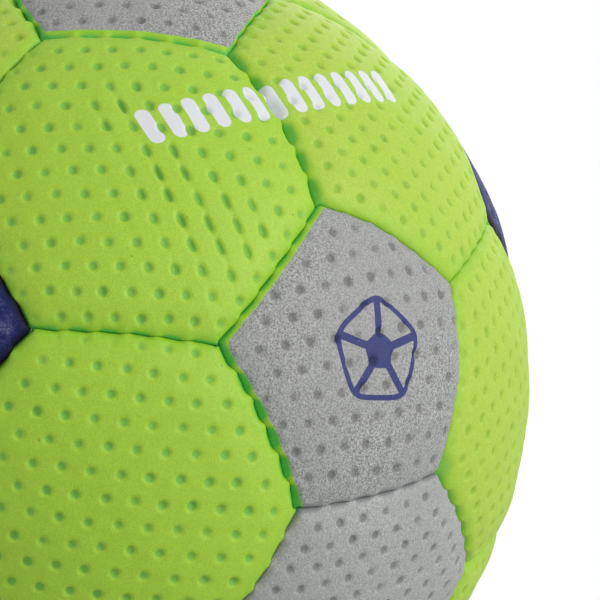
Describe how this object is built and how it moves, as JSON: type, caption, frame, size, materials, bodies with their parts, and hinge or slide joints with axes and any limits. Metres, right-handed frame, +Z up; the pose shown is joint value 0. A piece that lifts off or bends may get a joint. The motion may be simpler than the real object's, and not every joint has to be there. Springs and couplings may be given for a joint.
{
  "type": "handball",
  "caption": "Hand-sewn team handball: padded, dimpled hexagon and pentagon panels stitched edge to edge round an air bladder, with a needle valve.",
  "frame": {"origin": "the ball's centre", "axes": "-Y through the middle of the front pentagon, +Y out through the valve, +Z up as the ball lies in the picture, +X to the right as seen from the front"},
  "size_m": [0.1748, 0.1749, 0.1746],
  "materials": {
    "lime_skin": "satin, dimpled and pebbled, foam-backed",
    "grey_skin": "satin, dimpled and pebbled, foam-backed",
    "navy_skin": "satin, dimpled and pebbled, foam-backed",
    "lining_cloth": "woven cotton and polyester, matt",
    "sewing_thread": "waxed polyester",
    "latex": "satin",
    "valve_rubber": "satin"
  },
  "bodies": {
    "ball": {"pentagon_panel_01": "grey_skin", "pentagon_panel_02": "grey_skin", "pentagon_panel_03": "navy_skin", "pentagon_panel_04": "lime_skin", "pentagon_panel_05": "grey_skin", "pentagon_panel_06": "navy_skin", "pentagon_panel_07": "navy_skin", "pentagon_panel_08": "grey_skin", "pentagon_panel_09": "navy_skin", "pentagon_panel_10": "grey_skin", "pentagon_panel_11": "navy_skin", "pentagon_panel_12": "navy_skin", "hexagon_panel_01": "lime_skin", "hexagon_panel_02": "lime_skin", "hexagon_panel_03": "grey_skin", "hexagon_panel_04": "lime_skin", "hexagon_panel_05": "lime_skin", "hexagon_panel_06": "lime_skin", "hexagon_panel_07": "lime_skin", "hexagon_panel_08": "lime_skin", "hexagon_panel_09": "lime_skin", "hexagon_panel_10": "lime_skin", "hexagon_panel_11": "lime_skin", "hexagon_panel_12": "lime_skin", "hexagon_panel_13": "lime_skin", "hexagon_panel_14": "lime_skin", "hexagon_panel_15": "lime_skin", "hexagon_panel_16": "lime_skin", "hexagon_panel_17": "lime_skin", "hexagon_panel_18": "lime_skin", "hexagon_panel_19": "lime_skin", "hexagon_panel_20": "navy_skin", "hexagon_lining_01": "lining_cloth", "hexagon_lining_02": "lining_cloth", "hexagon_lining_03": "lining_cloth", "hexagon_lining_04": "lining_cloth", "hexagon_lining_05": "lining_cloth", "hexagon_lining_06": "lining_cloth", "hexagon_lining_07": "lining_cloth", "hexagon_lining_08": "lining_cloth", "hexagon_lining_09": "lining_cloth", "hexagon_lining_10": "lining_cloth", "hexagon_lining_11": "lining_cloth", "hexagon_lining_12": "lining_cloth", "hexagon_lining_13": "lining_cloth", "hexagon_lining_14": "lining_cloth", "hexagon_lining_15": "lining_cloth", "hexagon_lining_16": "lining_cloth", "hexagon_lining_17": "lining_cloth", "hexagon_lining_18": "lining_cloth", "hexagon_lining_19": "lining_cloth", "hexagon_lining_20": "lining_cloth", "pentagon_linings": "lining_cloth", "pentagon_seam_threads": "sewing_thread", "hexagon_seam_threads": "sewing_thread", "bladder": "latex", "valve_patch": "latex", "valve_housing": "valve_rubber"},
    "valve_plug": {"valve_plug": "valve_rubber"}
  },
  "joints": [
    {"name": "valve_plug_slide", "type": "slide", "parent": "ball", "child": "valve_plug", "axis": [0, 1, 0], "range_m": [0, 0.02]}
  ]
}
